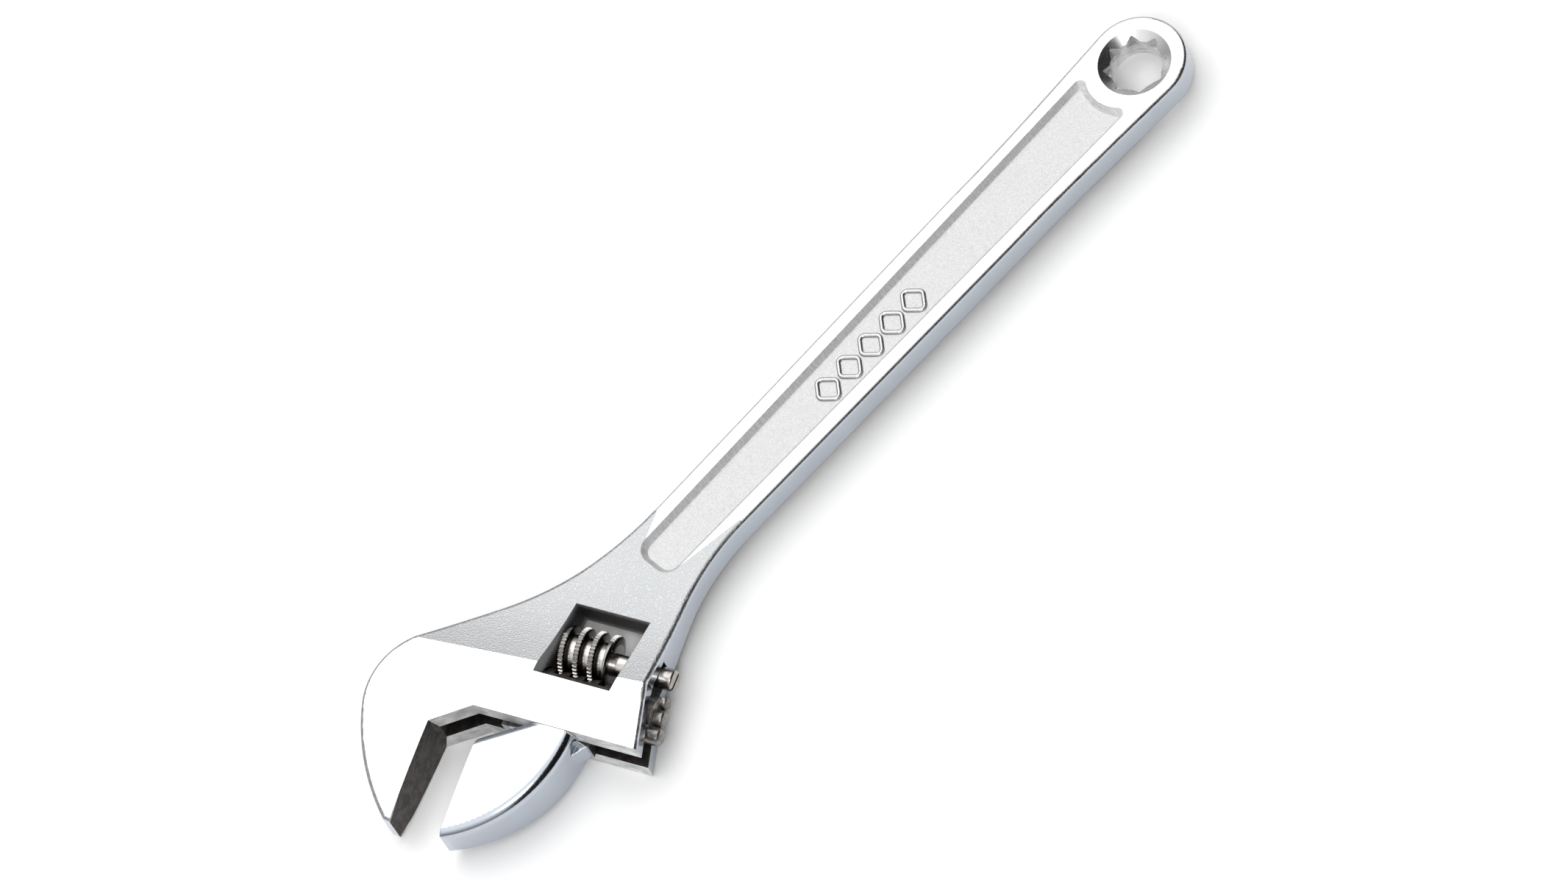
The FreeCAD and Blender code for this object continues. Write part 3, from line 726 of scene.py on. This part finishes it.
def lozenge_tree(material):
    """A row of raised lozenge outlines, each a bead swept round a kite with rounded corners."""
    b = Builder("lozenge_row", {
        "Count": "NodeSocketInt", "Pitch": "NodeSocketFloat", "Width": "NodeSocketFloat",
        "Half height": "NodeSocketFloat", "Bead": "NodeSocketFloat"})
    half, bead = b.value("Half height"), b.value("Bead")
    kite = b.node("GeometryNodeCurvePrimitiveQuadrilateral", {"mode": "KITE"}, {
        "Width": b.value("Width"), "Bottom Height": half, "Top Height": half})
    smooth = b.node("GeometryNodeFilletCurve", {"mode": "POLY"}, {0: kite, "Count": 6, "Radius": 2.0 * bead})
    section = b.node("GeometryNodeCurvePrimitiveCircle", None, {"Resolution": 14, "Radius": bead})
    frame_mesh = b.node("GeometryNodeCurveToMesh", None, {0: smooth, 1: section})
    offset = b.node("ShaderNodeCombineXYZ", None, {0: b.value("Pitch")})
    spots = b.node("GeometryNodeMeshLine", {"mode": "OFFSET"}, {"Count": b.value("Count"), "Offset": offset})
    placed = b.node("GeometryNodeInstanceOnPoints", None, {"Points": spots, "Instance": frame_mesh})
    return b.finish(placed, material)


def wedge(name, depth, width, length):
    """A tooth with a sharp crest along Z, pointing along +X, its foot sunk below x = 0."""
    bm = bmesh.new()
    sunk = -0.4 * depth
    tips = [bm.verts.new((depth, 0, z)) for z in (-length * 0.42, length * 0.42)]
    feet = [bm.verts.new((sunk, y, z)) for y in (-width / 2, width / 2) for z in (-length / 2, length / 2)]
    bm.faces.new((feet[0], feet[1], tips[1], tips[0]))
    bm.faces.new((feet[3], feet[2], tips[0], tips[1]))
    bm.faces.new((feet[2], feet[0], tips[0]))
    bm.faces.new((feet[1], feet[3], tips[1]))
    bm.faces.new((feet[0], feet[2], feet[3], feet[1]))
    bmesh.ops.recalc_face_normals(bm, faces=bm.faces)
    mesh = bpy.data.meshes.new(name)
    bm.to_mesh(mesh)
    bm.free()
    return mesh


def tree_to_mesh(name, tree, values):
    """Runs a geometry tree with its named inputs and returns the plain mesh."""
    holder = bpy.data.objects.new(name, bpy.data.meshes.new(name))
    bpy.context.scene.collection.objects.link(holder)
    modifier = holder.modifiers.new(name, "NODES")
    modifier.node_group = tree
    for item in tree.interface.items_tree:
        if item.in_out == "INPUT":
            modifier[item.identifier] = values[item.name]
    depsgraph = bpy.context.evaluated_depsgraph_get()
    mesh = bpy.data.meshes.new_from_object(holder.evaluated_get(depsgraph), depsgraph=depsgraph)
    bpy.data.objects.remove(holder)
    return mesh


class WRENCH_OT_worm(bpy.types.Operator):
    """The threaded worm and the knurl on its crests"""
    bl_idname = "wrench.worm"
    bl_label = "Worm"

    def execute(self, context):
        shape, looks = context.scene.wrench_worm, context.scene.wrench_finishes
        steel = worm_steel(looks)
        worm = WormMeasures()
        mesh = ring_mesh("worm_barrel", worm_rings(shape, worm), AROUND)
        for face in mesh.polygons:
            face.use_smooth = True
        mesh.set_sharp_from_angle(angle=math.radians(38))
        barrel = new_piece("worm_barrel", mesh, "adjusting_worm", steel)
        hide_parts("worm")
        tooth_width = 2 * math.pi * worm.radius / shape.knurl_per_turn
        tooth = bpy.data.objects.new(
            "knurl_tooth", wedge("knurl_tooth", shape.knurl_depth, tooth_width * 0.8, shape.crest * 0.96))
        bpy.context.scene.collection.objects.link(tooth)
        # the knurled crest stops clear of the barrel's two chamfers
        first, last = worm.start + 0.9 * MM, worm.end - 0.9 * MM
        knurl = tree_to_mesh("worm_knurl", knurl_tree(tooth, steel), {
            "Lead": shape.lead, "Radius": worm.radius - shape.knurl_depth,
            "Turns": (last - first) / shape.lead, "Teeth per turn": shape.knurl_per_turn})
        bpy.data.objects.remove(tooth)
        # the spiral starts on its own +X and climbs its +Z: they become the rack's side and s
        place = Matrix((U_WAY, -Z_WAY, S_WAY)).transposed().to_4x4()
        turned = Matrix.Rotation(2 * math.pi * (first - worm.crest_s) / shape.lead, 4, "Z")
        knurl.transform(Matrix.Translation(from_head(worm.axis_u, first, 0)) @ place @ turned)
        new_piece("worm_knurl", knurl, "adjusting_worm", steel)
        return {"FINISHED"}


class WRENCH_OT_panel_relief(bpy.types.Operator):
    """The row of raised lozenges on the front panel's floor"""
    bl_idname = "wrench.panel_relief"
    bl_label = "Panel relief"

    def execute(self, context):
        shape, looks = context.scene.wrench_relief, context.scene.wrench_finishes
        chrome = relief_plate(looks)
        row = tree_to_mesh("panel_relief", lozenge_tree(chrome), {
            "Count": shape.count, "Pitch": shape.pitch, "Width": shape.width,
            "Half height": shape.height / 2, "Bead": shape.bead})
        start = shape.middle - shape.pitch * (shape.count - 1) / 2
        row.transform(Matrix.Translation((start, shape.side, PANEL_FLOOR)))
        for face in row.polygons:
            face.use_smooth = True
        new_piece("panel_relief", row, "wrench_body", chrome)
        return {"FINISHED"}


def plain_material(node, material):
    mesh = frame["nodes"][node].data
    mesh.materials.clear()
    mesh.materials.append(material)


class WRENCH_OT_small_parts(bpy.types.Operator):
    """Finishes of the worm's pin, spring and washer"""
    bl_idname = "wrench.small_parts"
    bl_label = "Pin, spring and washer"

    def execute(self, context):
        plain_material("worm_pin", plated_small("plated_pin_steel", (0.46, 0.43, 0.4), 0.2))
        plain_material("worm_spring", plated_small("drawn_spring_wire", (0.4, 0.4, 0.41), 0.3))
        plain_material("thrust_washer", plated_small("washer_brass", (0.62, 0.42, 0.3), 0.28))
        return {"FINISHED"}


class WRENCH_OT_stage(bpy.types.Operator):
    """Floor, lights and camera"""
    bl_idname = "wrench.stage"
    bl_label = "Stage"

    def execute(self, context):
        settings = context.scene.wrench_stage
        low, high = CAD_BOX
        centre = (low + high) / 2
        mesh = bpy.data.meshes.new("floor")
        half = 3.0
        z = low.z - 0.05 * MM
        mesh.from_pydata([(centre.x + x * half, centre.y + y * half, z) for x, y in
                          ((-1, -1), (1, -1), (1, 1), (-1, 1))], [], [(0, 1, 2, 3)])
        floor = bpy.data.objects.new("floor", mesh)
        context.scene.collection.objects.link(floor)
        paper = bpy.data.materials.new("paper_floor")
        paper.use_nodes = True
        shader = paper.node_tree.nodes["Principled BSDF"]
        shader.inputs["Base Color"].default_value = (*settings.floor, 1)
        shader.inputs["Roughness"].default_value = 0.9
        mesh.materials.append(paper)
        # the overhead light fills what the ground faces mirror, the other one reaches between the jaws
        self.light(context, "overhead", centre, Vector((-0.25, -0.75, 1.3)), (1.6, 1.2), settings.key)
        self.light(context, "behind", centre, Vector((0.45, 0.8, 1.2)), (0.4, 0.4), settings.key * 0.6)
        self.sky(context, settings)
        self.camera(context, settings)
        return {"FINISHED"}

    def light(self, context, name, aim, away, size, power):
        data = bpy.data.lights.new(name, "AREA")
        data.shape = "RECTANGLE"
        data.size, data.size_y = size
        data.energy = power
        lamp = bpy.data.objects.new(name, data)
        lamp.location = aim + away
        lamp.rotation_euler = away.to_track_quat("Z", "Y").to_euler()
        context.scene.collection.objects.link(lamp)

    def sky(self, context, settings):
        """A pale sky, dim near the horizon and black low on the jaw's side for the rounded edges."""
        world = context.scene.world or bpy.data.worlds.new("studio")
        context.scene.world = world
        world.use_nodes = True
        tree = world.node_tree
        tree.nodes.clear()
        where = tree.nodes.new("ShaderNodeTexCoord")
        split = tree.nodes.new("ShaderNodeSeparateXYZ")
        tree.links.new(where.outputs["Generated"], split.inputs[0])
        x, y, height = (Term(tree, split.outputs[i]) for i in range(3))
        # 1 towards the jaw's side, where the black reaches high up
        lift = (y - x).rise(0.4, 0.7)
        upper = (height - 0.72 * lift).rise(0.12, 0.9 - 0.64 * lift)
        lower = 0.22 * (1.0 - lift)
        bright = (lower + (1.0 - lower) * upper) * settings.sky + 0.01
        rays = tree.nodes.new("ShaderNodeLightPath")
        seen = Term(tree, rays.outputs["Is Camera Ray"])
        level = bright * (1.0 - seen) + 0.95 * seen
        sky = tree.nodes.new("ShaderNodeBackground")
        tree.links.new(level.socket, sky.inputs["Strength"])
        out = tree.nodes.new("ShaderNodeOutputWorld")
        tree.links.new(sky.outputs[0], out.inputs[0])

    def camera(self, context, settings):
        """Looks down at the wrench from its +Y side, with the handle's end at the top right."""
        back = Vector((0.1656, 0.4908, 0.8554)).normalized()
        up = Vector((-0.7106, -0.5421, 0.4486))
        right = up.cross(back).normalized()
        up = back.cross(right)
        aim = Vector((141.8 * MM, 3.3 * MM, HANDLE_HALF_T))
        data = bpy.data.cameras.new("camera")
        data.sensor_width = 36.0
        data.lens = 36.0 * settings.distance / settings.view_width
        eye = bpy.data.objects.new("camera", data)
        eye.matrix_world = Matrix.Translation(aim + back * settings.distance) @ \
            Matrix((right, up, back)).transposed().to_4x4()
        context.scene.collection.objects.link(eye)
        context.scene.camera = eye
        context.scene.view_settings.view_transform = "Standard"


class WRENCH_PT_panel(bpy.types.Panel):
    bl_label = "Wrench"
    bl_idname = "WRENCH_PT_panel"
    bl_space_type = "VIEW_3D"
    bl_region_type = "UI"
    bl_category = "Wrench"

    def draw(self, context):
        scene = context.scene
        for operator in OPERATORS:
            self.layout.operator(operator.bl_idname)
        for group in (scene.wrench_finishes, scene.wrench_worm, scene.wrench_relief, scene.wrench_stage):
            box = self.layout.box()
            for key in group.__annotations__:
                box.prop(group, key)


OPERATORS = (WRENCH_OT_forged_body, WRENCH_OT_movable_jaw, WRENCH_OT_worm, WRENCH_OT_panel_relief,
             WRENCH_OT_small_parts, WRENCH_OT_stage)
GROUPS = {"wrench_finishes": WrenchFinishes, "wrench_worm": WormShape, "wrench_relief": ReliefShape,
          "wrench_stage": StageSettings}


def register():
    for cls in (*GROUPS.values(), *OPERATORS, WRENCH_PT_panel):
        bpy.utils.register_class(cls)
    for name, group in GROUPS.items():
        setattr(bpy.types.Scene, name, bpy.props.PointerProperty(type=group))


def unregister():
    for name in GROUPS:
        delattr(bpy.types.Scene, name)
    for cls in reversed((*GROUPS.values(), *OPERATORS, WRENCH_PT_panel)):
        bpy.utils.unregister_class(cls)


def main():
    register()
    for operator in OPERATORS:
        group, name = operator.bl_idname.split(".")
        getattr(getattr(bpy.ops, group), name)()


if __name__ == "__main__":
    main()
